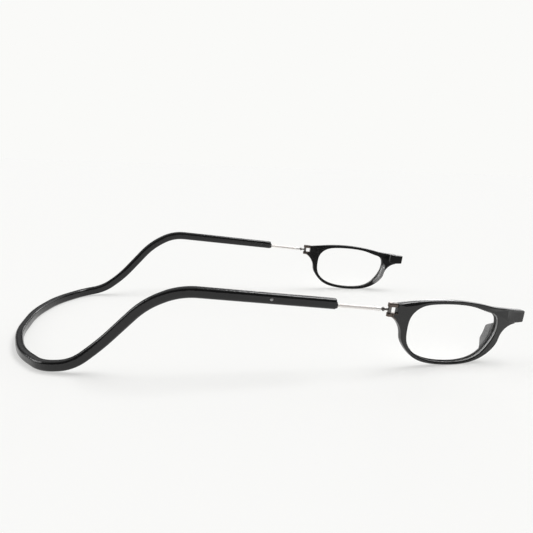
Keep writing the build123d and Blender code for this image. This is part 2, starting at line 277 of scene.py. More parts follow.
# Bends behind the crest, as shares of the loop's reach, the hinge's distance out, and the height
band_shares = [
    (0.63, 0.94, 0.814), (0.739, 0.863, 0.286), (0.809, 0.871, 0.043), (0.885, 0.818, 0.0),
    (0.958, 0.584, 0.0), (1.0, 0.242, 0.0),
]
half_route = [mouth - arm_way * lip_length, crest]
for back, out, up in band_shares:
    half_route.append(Vector((
        right_hinge.x - back * loop_reach,
        out * right_hinge.y,
        loop_level + up * (crest.z - loop_level),
    )))
other_half = [Vector((p.x, -p.y, p.z)) for p in reversed(half_route)]
band_line = rounded(half_route + other_half, bend_share)
# The mouth's edge is rounded over the lip: distance from the mouth, and share of the section
mouth_edge = [(0.0, 0.84), (0.06, 0.9), (0.16, 0.95), (0.3, 0.985)]
mouth_places = [(mouth - arm_way * back, share) for back, share in mouth_edge]
places = mouth_places + [(point, 1.0) for point in band_line]
places += [(Vector((p.x, -p.y, p.z)), share) for p, share in reversed(mouth_places)]
band_curve = bpy.data.curves.new("neckband_moulding", "CURVE")
band_curve.dimensions = "3D"
spline = band_curve.splines.new("POLY")
spline.points.add(len(places) - 1)
for point, (place, share) in zip(spline.points, places):
    point.co = (*(place * mm), 1)
    point.radius = share
neckband = bpy.data.objects.new("neckband_moulding", band_curve)
bpy.context.collection.objects.link(neckband)
sweep = neckband.modifiers.new("sweep", "NODES")
sweep.node_group = swept_band_tree()
band_values = {"Width": band_width * mm, "Height": band_height * mm, "Corner": band_corner * mm,
               "Plastic": band_black}
for item in sweep.node_group.interface.items_tree:
    if item.name in band_values:
        sweep[item.identifier] = band_values[item.name]
neckband = plain_mesh(neckband)

# Bores for the rods and round seats for the stop pins, which stand on the arms' centre line
bore_radius, bore_length, bore_overrun = 1.25, 54.9, 1.0
seat_radius, seat_depth, seat_overrun, pin_reach = 0.8, 0.3, 1.7, 28.4
cutters = []
for side in (1, -1):
    mirrored = Vector((1, side, 1))
    along = arm_way * mirrored
    bore_start = (right_hinge - arm_way * (mouth_reach - bore_overrun)) * mirrored
    cutters.append(round_bar(bore_start * mm, -along, bore_length * mm, bore_radius * mm))
    seat = mouth - arm_way * pin_reach
    seat_floor = (seat + outward * (band_width / 2 - seat_depth)) * mirrored
    seat_bar = (seat_depth + seat_overrun) * mm
    cutters.append(round_bar(seat_floor * mm, outward * mirrored, seat_bar, seat_radius * mm))
neckband = cut_or_join(neckband, mesh_piece("hollows", cutters), "DIFFERENCE")
smooth_faces(neckband, 38)
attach(neckband, "neckband")
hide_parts("neckband")

# Guide bushes. A satin black plastic sleeve pressed into each arm's mouth. Its lip stands out of
# the mouth and wipes the rod.


def dress(material, *nodes):
    """Puts a material on the faces of CAD nodes."""
    for node in nodes:
        mesh = frame["nodes"][node].data
        mesh.materials.clear()
        mesh.materials.append(material)


bush_black, shader, nodes, links = finish("bush_black", (0.01, 0.01, 0.011), 0.4)
add_skin(nodes, links, shader, 0.3, 0.0001, Ripple_Scale=200.0, Grain_Scale=4000.0, Grain=0.3,
         Dull=0.36, Bright=0.46)
dress(bush_black, "guide_bush_right", "guide_bush_left")

# Stop pins. A small dark steel pin with a domed head, pressed into a round seat in each arm's outer
# face. It reaches into the bore and keeps the rod's collar inside.


def make_turned_metal():
    """Lines left by the lathe or the die, along one axis, as height and as gloss."""
    group, start, end = shared_group(
        "turned_metal",
        [("Lines X", 40.0), ("Lines Y", 2000.0), ("Lines Z", 2000.0), ("Dull", 0.2),
         ("Bright", 0.35)],
        [("Height", "NodeSocketFloat"), ("Roughness", "NodeSocketFloat")],
    )
    nodes, links = group.nodes, group.links
    place = nodes.new("ShaderNodeTexCoord")
    stretch = nodes.new("ShaderNodeCombineXYZ")
    for axis in "XYZ":
        links.new(start.outputs["Lines " + axis], stretch.inputs[axis])
    scaled = nodes.new("ShaderNodeVectorMath")
    scaled.operation = "MULTIPLY"
    links.new(place.outputs["Object"], scaled.inputs[0])
    links.new(stretch.outputs[0], scaled.inputs[1])
    lines = nodes.new("ShaderNodeTexNoise")
    lines.inputs["Scale"].default_value = 1
    lines.inputs["Detail"].default_value = 3
    links.new(scaled.outputs["Vector"], lines.inputs["Vector"])
    links.new(lines.outputs["Fac"], end.inputs["Height"])
    gloss = nodes.new("ShaderNodeMapRange")
    gloss.inputs["From Min"].default_value = 0.3
    gloss.inputs["From Max"].default_value = 0.7
    links.new(lines.outputs["Fac"], gloss.inputs["Value"])
    links.new(start.outputs["Dull"], gloss.inputs["To Min"])
    links.new(start.outputs["Bright"], gloss.inputs["To Max"])
    links.new(gloss.outputs["Result"], end.inputs["Roughness"])


def add_lines(nodes, links, shader, strength, **values):
    """Places the turned metal's lines in a material."""
    lines = nodes.new("ShaderNodeGroup")
    lines.node_tree = bpy.data.node_groups["turned_metal"]
    for label, value in values.items():
        lines.inputs[label.replace("_", " ")].default_value = value
    bump = nodes.new("ShaderNodeBump")
    bump.inputs["Strength"].default_value = strength
    bump.inputs["Distance"].default_value = 0.00002
    links.new(lines.outputs["Height"], bump.inputs["Height"])
    links.new(bump.outputs["Normal"], shader.inputs["Normal"])
    links.new(lines.outputs["Roughness"], shader.inputs["Roughness"])


make_turned_metal()
# The pin's outline: radius, and height over the arm's face
pin_profile = [(0.48, -0.87), (0.48, -0.3), (0.78, -0.3), (0.78, -0.12), (0.75, -0.04),
               (0.66, 0.04), (0.5, 0.09), (0.3, 0.115), (0.08, 0.12)]
pin_sides = 40
pin_dark, shader, nodes, links = finish("pin_dark", (0.3, 0.3, 0.305), 0.2, 1.0)
add_lines(nodes, links, shader, 0.4, Lines_X=2500.0, Lines_Y=300.0, Lines_Z=2500.0, Dull=0.22,
          Bright=0.36)
for side, name in ((1, "right"), (-1, "left")):
    mirrored = Vector((1, side, 1))
    face = (mouth - arm_way * pin_reach + outward * (band_width / 2)) * mirrored
    out, along = outward * mirrored, arm_way * mirrored
    lift = out.cross(along)
    rows = []
    for radius, level in pin_profile:
        circle = ring(face + out * level, along, lift, radius, pin_sides)
        rows.append([point * mm for point in circle])
    pin = mesh_piece("stop_pin_turned_" + name, [tube_rows(rows)])
    smooth_faces(pin, 40)
    pin.data.materials.append(pin_dark)
    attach(pin, "neckband")
    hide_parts("stop_pin_" + name)

# Temple rods. Straight bright drawn steel wire that slides in the arms. Each is pressed into its
# ferrule in front and carries a collar at its inner end.
rod_bright, shader, nodes, links = finish("rod_bright", (0.97, 0.93, 0.9), 0.2, 0.55)
add_lines(nodes, links, shader, 0.3, Lines_X=60.0, Lines_Y=4000.0, Lines_Z=4000.0, Dull=0.55,
          Bright=0.62)
dress(rod_bright, "temple_rod_right", "temple_rod_left")

# Rod ferrules. A short sleeve of bright turned steel that joins each rod to its hinge eye, pressed
# on both.
ferrule_bright, shader, nodes, links = finish("ferrule_bright", (0.96, 0.94, 0.92), 0.2, 0.5)
add_lines(nodes, links, shader, 0.4, Lines_X=5000.0, Lines_Y=200.0, Lines_Z=200.0, Dull=0.34,
          Bright=0.46)
dress(ferrule_bright, "rod_ferrule_right", "rod_ferrule_left")

# Rod collars. Plain turned brass, crimped on each rod's inner end. They run in the arms' bores, out
# of sight, and stop the rods at the pins.
inner_brass, shader, nodes, links = finish("inner_brass", (0.62, 0.5, 0.28), 0.35, 1.0)
add_lines(nodes, links, shader, 0.4, Lines_X=4000.0, Lines_Y=200.0, Lines_Z=200.0, Dull=0.3,
          Bright=0.42)
dress(inner_brass, "rod_collar_right", "rod_collar_left")

# Hinge eyes. Black plated steel, turned and drilled: a neck with a round shoulder, and the barrel
# that the front turns on.
hinge_dark, shader, nodes, links = finish("hinge_dark", (0.16, 0.15, 0.145), 0.3, 1.0)
add_lines(nodes, links, shader, 0.3, Lines_X=1500.0, Lines_Y=500.0, Lines_Z=1500.0, Dull=0.24,
          Bright=0.38)
dress(hinge_dark, "hinge_eye_right", "hinge_eye_left")

# Hinge screws. Small slotted steel screws, plated brown-black. Each goes down through both knuckles
# and the eye, with its head let into the top knuckle.
screw_steel, shader, nodes, links = finish("screw_steel", (0.36, 0.31, 0.28), 0.3, 1.0)
add_lines(nodes, links, shader, 0.4, Lines_X=2500.0, Lines_Y=2500.0, Lines_Z=300.0, Dull=0.24,
          Bright=0.36)
dress(screw_steel, "hinge_screw_right", "hinge_screw_left")

# Lens frames. Each half front is one moulding in polished black plastic: rim, two hinge knuckles,
# half bridge with a thicker block for the magnet, and a nose pad that stands out behind.
black_tone = (0.009, 0.009, 0.0095)
frame_black, shader, nodes, links = finish("frame_black", black_tone, 0.15)
tone = None
# The black's tone is lifted by two painted masks: painted sheen, and a painted highlight on the
# lens bevel's lip
for attribute, colour in (("painted_sheen", (0.26, 0.26, 0.26, 1)), ("lip_highlight", (0.85, 0.85, 0.85, 1))):
    mask = nodes.new("ShaderNodeAttribute")
    mask.attribute_name = attribute
    mix = nodes.new("ShaderNodeMix")
    mix.data_type = "RGBA"
    mix.inputs["A"].default_value = (*black_tone, 1)
    mix.inputs["B"].default_value = colour
    links.new(mask.outputs["Fac"], mix.inputs["Factor"])
    if tone:
        links.new(tone, mix.inputs["A"])
    tone = mix.outputs["Result"]
links.new(tone, shader.inputs["Base Color"])
add_skin(nodes, links, shader, 0.3, 0.0002, Ripple_Scale=200.0, Ripple=0.6, Grain_Scale=3000.0,
         Grain=0.04, Dull=0.1, Bright=0.18)
frame_back, shader, nodes, links = finish("frame_back", (0.003, 0.003, 0.0032), 0.3)
shader.inputs["Specular IOR Level"].default_value = 0.2
add_skin(nodes, links, shader, 0.4, 0.0002, Ripple_Scale=200.0, Ripple=0.5, Grain_Scale=2500.0,
         Grain=0.15, Dull=0.28, Bright=0.4)
knuckle_plated, shader, nodes, links = finish("knuckle_plated", (0.13, 0.106, 0.094), 0.3, 1.0)
add_lines(nodes, links, shader, 0.3, Lines_X=1500.0, Lines_Y=1500.0, Lines_Z=500.0, Dull=0.26,
          Bright=0.4)

toe_in, rim_depth = radians(4.26), 3.0
front_way = arm_way * cos(toe_in) - outward * sin(toe_in)
face_way = front_way.cross(hinge_way)


def on_front(across, up, depth):
    """Place in metres of a point of the right front: across and up from the hinge, and depth."""
    face = rim_depth / 2 - depth
    return (right_hinge + front_way * across + hinge_way * up + face_way * face) * mm


def smooth_line(points, first=None, last=None, steps=8):
    """A smooth line through points: closed, or open with these directions at its ends."""
    knots = np.array([tuple(p) for p in points], float)
    closed = first is None
    if closed:
        knots = np.vstack([knots, knots[:1]])
    spans = np.linalg.norm(np.diff(knots, axis=0), axis=1)
    count = len(knots)
    left, right = np.zeros((count, count)), np.zeros((count, 2))
    for n in range(1, count - 1):
        left[n, n - 1], left[n, n + 1] = spans[n], spans[n - 1]
        left[n, n] = 2 * (spans[n] + spans[n - 1])
        before = (knots[n] - knots[n - 1]) / spans[n - 1]
        after = (knots[n + 1] - knots[n]) / spans[n]
        right[n] = 3 * (before * spans[n] + after * spans[n - 1])
    if closed:
        before = (knots[-1] - knots[-2]) / spans[-1]
        after = (knots[1] - knots[0]) / spans[0]
        left[0, 0], left[0, 1] = 2 * (spans[0] + spans[-1]), spans[-1]
        left[0, count - 2] = spans[0]
        right[0] = 3 * (before * spans[0] + after * spans[-1])
        left[-1, 0], left[-1, -1] = 1, -1
    else:
        left[0, 0] = left[-1, -1] = 1
        right[0], right[-1] = np.array(first), np.array(last)
    slopes = np.linalg.solve(left, right)
    line = []
    for n in range(count - 1):
        for step in range(steps):
            t = step / steps
            line.append(
                (2 * t**3 - 3 * t**2 + 1) * knots[n] + (t**3 - 2 * t**2 + t) * spans[n] * slopes[n]
                + (3 * t**2 - 2 * t**3) * knots[n + 1] + (t**3 - t**2) * spans[n] * slopes[n + 1]
            )
    if not closed:
        line.append(knots[-1])
    return [Vector(point) for point in line]


def turned(spoke, angle):
    """A vector in the front's plane, turned anticlockwise."""
    return Vector((
        spoke.x * cos(angle) - spoke.y * sin(angle), spoke.x * sin(angle) + spoke.y * cos(angle)
    ))


def turn_between(first, second):
    """The angle from one vector in the front's plane to another, anticlockwise."""
    return atan2(first.x * second.y - first.y * second.x, first.dot(second))


def fade(value, start, stop):
    """0 up to start, 1 from stop on, and even between them; start may be the higher."""
    return np.clip((value - start) / (stop - start), 0, 1)


def arc_through(start, middle, stop, steps=14):
    """Points of the arc through three points, with its centre."""
    a, b = middle - start, stop - start
    scale = 2 * (a.x * b.y - a.y * b.x)
    centre = start + Vector((
        (b.y * a.length_squared - a.y * b.length_squared) / scale,
        (a.x * b.length_squared - b.x * a.length_squared) / scale,
    ))
    spoke = start - centre
    turn = turn_between(spoke, stop - centre)
    if (turn > 0) != (scale > 0):
        turn += 2 * pi if turn < 0 else -2 * pi
    line = [centre + turned(spoke, turn * step / steps) for step in range(steps + 1)]
    return line, centre


def moved_in(outline, amounts):
    """A closed outline, run round with its inside on the left, whose points move inwards."""
    count, sharpest = len(outline), 0.5
    line = []
    for n in range(count):
        on = (outline[(n + 1) % count] - outline[n]).normalized()
        back = (outline[n] - outline[n - 1]).normalized()
        inward = Vector((-on.y - back.y, on.x + back.x)).normalized()
        sharpness = max(sharpest, inward.dot(Vector((-on.y, on.x))))
        line.append(outline[n] + inward * amounts[n] / sharpness)
    return line


def share_box(shares, left, right, bottom, top):
    """Points given as shares of the half width and half height of a box."""
    half_width, half_height = (right - left) / 2, (top - bottom) / 2
    return [
        Vector(((left + right) / 2 + across * half_width, (bottom + top) / 2 + up * half_height))
        for across, up in shares
    ]


# The lens opening and the rim round it, measured from the hinge: the box that each fills, and its
# points. The opening runs clockwise, so that the rim is on its left.
opening_box = (10.0, 56.15, -22.7, 4.3)
rim_box = (5.9, 60.4, -24.3, 6.1)
opening_knots = share_box([
    (1.0, 0.349), (0.937, 0.69), (0.731, 0.82), (0.478, 0.929), (0.01, 1.0), (-0.467, 0.957),
    (-0.805, 0.798), (-0.968, 0.486), (-1.0, 0.066), (-0.955, -0.387), (-0.769, -0.735),
    (-0.444, -0.947), (-0.022, -1.0), (0.352, -0.937), (0.681, -0.696), (0.885, -0.277),
], *opening_box)
opening = smooth_line(opening_knots)[::-1]
rim_brow = share_box([
    (0.551, 0.929), (0.256, 0.981), (-0.076, 1.0), (-0.444, 0.968), (-0.775, 0.896),
], *rim_box)
rim_below = share_box([
    (-0.949, -0.171), (-0.84, -0.52), (-0.651, -0.809), (-0.325, -0.977), (0.0, -1.0),
    (0.336, -0.944), (0.582, -0.809), (0.82, -0.507), (0.941, -0.118),
], *rim_box)

# The rim's outline, from the lower knuckle below the lens to the bridge and back over the brow
knuckle_radius, knuckle_top, half_slot, root_reach = 1.1, 3.1, 1.3, 3.4
temple_start, temple_middle = Vector((knuckle_radius, -knuckle_top)), Vector((4.9, -6.1))
temple_arc, _ = arc_through(temple_start, temple_middle, rim_below[0])
# The arc over the nose leaves the bridge's underside in line with it
under, bridge_corner = Vector((66.0, -2.8)), Vector((70.0, -1.9))
chord = rim_below[-1] - under
under_way = (under - bridge_corner).normalized()
half_bow = turn_between(under_way, chord) / 2
nose_middle = under + turned(under_way, half_bow) * chord.length / 2 / cos(half_bow)
nose_arc, _ = arc_through(rim_below[-1], nose_middle, under)
temple_way, nose_way = temple_arc[-1] - temple_arc[-2], nose_arc[1] - nose_arc[0]
below = smooth_line(rim_below, temple_way.normalized(), nose_way.normalized())
shoulder, bridge_top = Vector((55.7, 4.1)), Vector((70.0, 3.7))
over_bridge = [Vector((65.0, 3.84)), Vector((62.0, 3.92)), Vector((58.9, 4.01))]
root_top = Vector((root_reach, knuckle_top))
web_run = root_top - rim_brow[-1]
brow = smooth_line(
    [shoulder] + rim_brow, (shoulder - bridge_top).normalized(), web_run.normalized()
)
web = [rim_brow[-1] + web_run * share for share in (0.3, 0.6)]
notch = [root_top, Vector((root_reach, half_slot)), Vector((root_reach, -half_slot)),
         Vector((knuckle_radius, -half_slot))]
outline = temple_arc[:-1] + below[:-1] + nose_arc + over_bridge + brow + web + notch


def rim_edge_rows(reaches, sinks, front):
    """Insets and depths of the rows that round the rim's outer edge, front or back."""
    rows = []
    for angle in range(0, 91, 15):
        inset, sink = 1 - sin(radians(angle)), 1 - cos(radians(angle))
        depths = [value * sink if front else rim_depth - value * sink for value in sinks]
        rows.append(([value * inset for value in reaches], depths))
    return rows if front else list(reversed(rows))


# The front edge's rounding is broad and deep over the web beside the hinge and fades along the
# brow. Each pair is how far it reaches in from the edge, and how deep it sinks.
plain_edge, brow_gain, web_gain = (0.42, 0.42), (0.38, 0.5), (1.2, 0.6)
root_fade, web_fade, brow_fade, upper_half = (root_reach, 6.4), (19, 12), (33, 27), 1.5
edge_reaches, edge_sinks = [], []
for point in outline:
    shown = fade(point.x, *root_fade) * (point.y >= upper_half)
    on_web, on_brow = shown * fade(point.x, *web_fade), shown * fade(point.x, *brow_fade)
    for values, plain, brow_part, web_part in zip(
            (edge_reaches, edge_sinks), plain_edge, brow_gain, web_gain):
        values.append(plain + brow_part * on_brow + web_part * on_web)
back_edge, landing = 0.4, 0.06
back_edges = [back_edge] * len(outline)
outer_rows = [([reach + landing for reach in edge_reaches], 0.0)]
outer_rows += rim_edge_rows(edge_reaches, edge_sinks, True)
outer_rows += rim_edge_rows(back_edges, back_edges, False) + [(back_edge + landing, rim_depth)]

# The bevel round the lens is widest on the nose side and along the bottom
middle, widest_way = Vector((33.1, -9.2)), Vector((0.62, -0.78))
least_bevel, bevel_gain = 0.42, 0.48
bevels = []
for point in opening:
    lean = (point - middle).normalized().dot(widest_way)
    bevels.append(least_bevel + bevel_gain * fade(0.55 + 1.1 * lean, 0, 1))
# The opening's edges, as share of the bevel or distance, and depth, with the lens groove between
groove, groove_front, groove_back = 0.65, 0.65, 2.45
front_edge = [(1.07, 0.0), (1.0, 0.0), (0.93, 0.015), (0.84, 0.05), (0.44, 0.22), (0.4, 0.25),
              (0.06, 0.59), (0, 0.64)]
rear_edge = [(0, 2.62), (0.02, 2.78), (0.1, 2.91), (0.2, 2.98), (0.3, rim_depth),
             (0.35, rim_depth)]
opening_rows = [([share * bevel for bevel in bevels], depth) for share, depth in front_edge]
opening_rows += [(0, groove_front), (groove, groove_front), (groove, groove_back),
                 (0, groove_back)] + rear_edge
plate_verts, plate_faces = [], []


def add_loops(line, rows):
    """Adds an outline's rows at their depths, joined by quads; returns where the rows start."""
    starts = []
    for shift, depth in rows:
        starts.append(len(plate_verts))
        shifts = shift if isinstance(shift, list) else [shift] * len(line)
        depths = depth if isinstance(depth, list) else [depth] * len(line)
        plate_verts.extend(zip(moved_in(line, shifts), depths))
    for near, far in zip(starts, starts[1:]):
        for n in range(len(line)):
            after = (n + 1) % len(line)
            plate_faces.append((near + n, near + after, far + after, far + n))
    return starts


outer_starts = add_loops(outline, outer_rows)
opening_starts = add_loops(opening, opening_rows)
for row in (0, -1):
    loops = [range(outer_starts[row], outer_starts[row] + len(outline)),
             range(opening_starts[row], opening_starts[row] + len(opening))]
    indexes = [index for loop in loops for index in loop]
    flat = [[Vector((*plate_verts[index][0], 0)) for index in loop] for loop in loops]
    for face in tessellate_polygon(flat):
        plate_faces.append(tuple(indexes[corner] for corner in face))
plate = ([on_front(point.x, point.y, depth) for point, depth in plate_verts], plate_faces)

# Bridge block: it swells out of the rim's nose side and ends in a flat face with a round bore. Its
# sections: distance from the hinge, front and back depth, bottom, top and corner radius
block_rows = [
    (59.9, 0.5, 2.6, -0.6, 3.0, 0.3), (60.7, 0.06, 3.0, -1.3, 3.6, 0.5),
    (61.0, -0.12, 3.3, -1.75, 3.74, 0.8), (61.4, -0.2, 3.6, -2.1, 3.82, 1.0),
    (63.2, -0.2, 3.85, -2.42, 3.78, 1.05), (65.0, -0.2, 3.9, -2.5, 3.74, 1.05),
    (67.0, -0.2, 3.9, -2.3, 3.72, 1.05), (69.4, -0.2, 3.9, -1.95, 3.7, 1.0),
    (69.85, -0.15, 3.85, -1.9, 3.65, 0.85), (69.97, -0.04, 3.74, -1.79, 3.54, 0.65),
    (70.0, 0.1, 3.6, -1.65, 3.4, 0.6),
]
bore_middle, block_bore, bore_floor = Vector((1.85, 0.9)), 1.64, 5.52


def rounded_box(left, right, bottom, top, corner, low_corner=0.6, steps=8):
    """Points of a rounded rectangle whose lower corners are no rounder than low_corner."""
    low = min(corner, low_corner)
    line = []
    for x, y, radius, start in (
            (right - corner, top - corner, corner, 0), (left + corner, top - corner, corner, 90),
            (left + low, bottom + low, low, 180), (right - low, bottom + low, low, 270)):
        for step in range(steps):
            angle = radians(start + 90 * step / (steps - 1))
            line.append((x + radius * cos(angle), y + radius * sin(angle)))
    return line


rows = []
for across, *section in block_rows:
    rows.append([on_front(across, up, depth) for depth, up in rounded_box(*section)])
block_end, *end_section = block_rows[-1]
for across in (block_end, block_end - bore_floor):
    circle = []
    for corner in rounded_box(*end_section):
        depth, up = bore_middle + (Vector(corner) - bore_middle).normalized() * block_bore
        circle.append(on_front(across, up, depth))
    rows.append(circle)
block = tube_rows(rows)

# Nose pad: a curved fin on the nose side of the rim, highest near its top end. It starts midway
# between the opening and the rim's edge, and leans towards the nose as it rises
pad_inset, pad_lean, pad_length = 1.3, 1.0, 14
pad_points = [opening_knots[0] + Vector((pad_inset, 0))]
pad_points += [(opening_knots[n] + rim_below[n]) / 2 for n in (-1, -2)]
pad_line, pad_centre = arc_through(*pad_points, steps=1)
pad_spoke = pad_line[0] - pad_centre
pad_turn = turn_between(pad_spoke, pad_line[-1] - pad_centre)
# Its sections from root to tip: depth, and width
pad_sections = [(2.5, 2.6), (3.0, 3.0), (3.12, 2.82), (3.4, 2.62), (4.2, 2.42), (5.0, 2.28),
                (5.9, 2.14), (6.7, 2.02), (7.05, 1.88), (7.27, 1.64), (7.42, 1.28), (7.5, 0.7)]
pad_root, pad_tip, tip_start, tip_width = 2.5, 7.5, 6.7, 2.02
top_draw, bottom_draw, side_steps, end_steps = 0.17, 0.46, 20, 8
rows = []
for depth, width in pad_sections:
    rise = fade(depth, pad_root, pad_tip)
    tip_draw = (tip_width - width) / 2 / pad_length if depth > tip_start else 0
    first = top_draw * rise + tip_draw
    last = 1 - bottom_draw * rise - tip_draw
    shares = [first + (last - first) * n / side_steps for n in range(side_steps + 1)]
    section = []
    for side, run in ((1, shares), (-1, shares[::-1])):
        for share in run:
            spoke = turned(pad_spoke, pad_turn * share)
            place = pad_centre + spoke - Vector((pad_lean * rise, 0))
            way = spoke.normalized() * side
            section.append(place + way * width / 2)
        for step in range(1, end_steps):
            angle = copysign(pi, pad_turn) * step / end_steps
            section.append(place + turned(way, angle) * width / 2)
    rows.append([on_front(point.x, point.y, depth) for point in section])
pad = tube_rows(rows)


def knuckle(bottom, top, head_radius, head_depth):
    """A hinge knuckle with its screw hole, and a seat for the screw's head in its top."""
    side_way = hinge_way.cross(front_way)
    sides, screw_hole, edge, overlap, least_slope = 48, 0.47, 0.22, 0.3, 0.05
    spokes, reaches = [], []
    for n in range(sides):
        angle = pi / 2 + 2 * pi * n / sides
        spoke = Vector((cos(angle), sin(angle)))
        spokes.append(spoke)
        stretch = 1
        if spoke.x > 0:
            stretch = min((root_reach + overlap) / spoke.x / knuckle_radius,
                          1 / max(abs(spoke.y), least_slope))
        reaches.append(spoke * stretch)
    rows = []
    for up, inset in ((bottom, edge), (bottom + edge / 3, edge / 3), (bottom + edge, 0),
                      (top - edge, 0), (top - edge / 3, edge / 3), (top, edge)):
        rows.append([(reach * (knuckle_radius - inset), up) for reach in reaches])
    for radius, up in ((head_radius, top), (head_radius, top - head_depth),
                       (screw_hole, top - head_depth), (screw_hole, bottom)):
        rows.append([(spoke * radius, up) for spoke in spokes])
    verts, faces = [], []
    for row in rows:
        for point, up in row:
            place = right_hinge + front_way * point.x + side_way * point.y + hinge_way * up
            verts.append(place * mm)
    for row in range(len(rows)):
        near, far = row * sides, (row + 1) % len(rows) * sides
        for n in range(sides):
            after = (n + 1) % sides
            faces.append((near + n, near + after, far + after, far + n))
    return verts, faces


upper_knuckle = knuckle(half_slot, knuckle_top, head_radius=0.77, head_depth=0.5)
lower_knuckle = knuckle(-knuckle_top, -half_slot, head_radius=0.6, head_depth=0.05)
right_frame = mesh_piece("lens_frame_moulding_right", [plate])
for name, part in (("block", block), ("pad", pad), ("upper_knuckle", upper_knuckle),
                   ("lower_knuckle", lower_knuckle)):
    right_frame = cut_or_join(right_frame, mesh_piece(name, [part]), "UNION")
smooth_faces(right_frame, 35)

# Masks: a painted highlight along the lip beside the lens, most towards the nose and the bottom,
# and a painted sheen, a lighter grey, where the pad, the wall beside the lens, the nose side and
# the block's top catch light
mesh = right_frame.data
places = np.array([tuple(vertex.co / mm - right_hinge) for vertex in mesh.vertices])
across, up = places @ np.array(front_way), places @ np.array(hinge_way)
depths = rim_depth / 2 - places @ np.array(face_way)
edge_points = np.array([tuple(point) for point in opening])
gaps = np.linalg.norm(np.stack([across, up], axis=1)[:, None, :] - edge_points, axis=2)
widths = np.array(bevels)[gaps.argmin(axis=1)]
gaps = gaps.min(axis=1)
nose_side, block_start = fade(across, 38, 50), 60.6
lip_share, lip_front, lip_foot = 0.42, 0.235, 0.66
# Painted highlight: a pale line along the lip of the bevel beside the lens, in place of a
# reflection
lip_highlight = (gaps < lip_share * widths) & (depths > lip_front) & (depths < lip_foot)
lip_highlight_amount = lip_highlight * fade(widths, 0.5, 0.85)
lip_highlight_amount = lip_highlight_amount * (0.35 + 0.65 * nose_side) * (1 - 0.6 * fade(up, -10, -5))
wall_reach, wall_front, wall_foot = 0.75, 0.62, 3.02
wall = (gaps < wall_reach) & (depths > wall_front) & (depths < wall_foot)
# Painted sheen: a lighter grey that stands in for the light on the pad, the wall beside the lens,
# the nose side and the block's top
pad_sheen = np.where(across < block_start, fade(depths, 3.05, 4.25), 0)
wall_sheen = 0.4 * wall * fade(widths, 0.6, 0.85) * nose_side
side_sheen = 0.1 * fade(across, 52, 58)
top_sheen = 0.6 * (across > block_start + 0.3) * fade(up, 2.6, 3.0)
painted_sheen = np.maximum.reduce([pad_sheen, wall_sheen, side_sheen, top_sheen])
for name, values in (("lip_highlight", lip_highlight_amount), ("painted_sheen", painted_sheen)):
    layer = mesh.attributes.new(name, "FLOAT", "POINT")
    layer.data.foreach_set("value", values.astype(np.float32))
# The knuckles, which are the faces nearest the hinge, are plated, and the faces that look back from
# the rim and the bridge are darker and less glossy than the front
root_margin, back_margin, back_facing = 0.1, 0.1, -0.9
mesh.materials.clear()
for material in (frame_black, frame_back, knuckle_plated):
    mesh.materials.append(material)
for face in mesh.polygons:
    place = face.center / mm - right_hinge
    reach, depth = place.dot(front_way), rim_depth / 2 - place.dot(face_way)
    looks_back = face.normal.dot(face_way) < back_facing and depth > rim_depth - back_margin
    on_back = looks_back and (reach > block_start or depth < rim_depth + back_margin)
    on_knuckle = reach < root_reach - root_margin
    face.material_index = 2 if on_knuckle else int(on_back)


def left_twin(piece):
    """The left piece that mirrors a right one, with its faces still outwards."""
    mesh = piece.data.copy()
    mesh.transform(Matrix.Diagonal((1, -1, 1, 1)))
    mesh.flip_normals()
    twin = bpy.data.objects.new(piece.name.replace("right", "left"), mesh)
    bpy.context.collection.objects.link(twin)
    return twin


for piece, side in ((right_frame, "right"), (left_twin(right_frame), "left")):
    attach(piece, "front_" + side)
    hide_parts("lens_frame_" + side)

# Lenses. Clear uncoated plastic, moulded flat at the back and a little domed in front. Each is
# snapped into the groove round its opening.
lens_clear, shader, nodes, links = finish("lens_clear", (1.0, 1.0, 1.0), 0.0)
shader.inputs["Transmission Weight"].default_value = 1
# A low index keeps the lenses as faint, and the view through them as straight, as in the photograph
shader.inputs["IOR"].default_value = 1.1
smears = nodes.new("ShaderNodeGroup")
smears.node_tree = bpy.data.node_groups["moulded_skin"]
for label, value in (("Ripple Scale", 120.0), ("Dull", 0.0), ("Bright", 0.03)):
    smears.inputs[label].default_value = value
links.new(smears.outputs["Roughness"], shader.inputs["Roughness"])
lens_fit, dome_radius, lens_front, lens_back = 0.05, 400.0, 1.0, 0.9
lens_edge = moved_in(opening, [groove - lens_fit] * len(opening))
rows = [[on_front(point.x, point.y, rim_depth / 2 + lens_back) for point in lens_edge]]
lens_rings = (1.0, 0.95, 0.85, 0.7, 0.55, 0.4, 0.25, 0.12, 0.04)
for share in lens_rings:
    circle = []
    for point in lens_edge:
        spoke = (point - middle) * share
        fall = dome_radius - (dome_radius**2 - spoke.length_squared) ** 0.5
        place = middle + spoke
        circle.append(on_front(place.x, place.y, rim_depth / 2 - lens_front + fall))
    rows.append(circle)
right_lens = mesh_piece("lens_moulding_right", [tube_rows(rows)])
smooth_faces(right_lens, 35)
right_lens.data.materials.append(lens_clear)
for piece, side in ((right_lens, "right"), (left_twin(right_lens), "left")):
    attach(piece, "front_" + side)
    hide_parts("lens_" + side)

# Magnets and cups. A round nickel plated magnet glued into a thin drawn steel cup. The cup is
# pressed into the bridge's end, flush with its face.
magnet_nickel, shader, nodes, links = finish("magnet_nickel", (0.62, 0.6, 0.57), 0.25, 1.0)
add_lines(nodes, links, shader, 0.3, Lines_X=1500.0, Lines_Y=1500.0, Lines_Z=1500.0, Dull=0.2,
          Bright=0.32)
dress(magnet_nickel, "magnet_right", "magnet_left")
cup_steel, shader, nodes, links = finish("cup_steel", (0.45, 0.44, 0.43), 0.35, 1.0)
add_lines(nodes, links, shader, 0.4, Lines_X=1500.0, Lines_Y=1500.0, Lines_Z=1500.0, Dull=0.3,
          Bright=0.42)
dress(cup_steel, "magnet_cup_right", "magnet_cup_left")

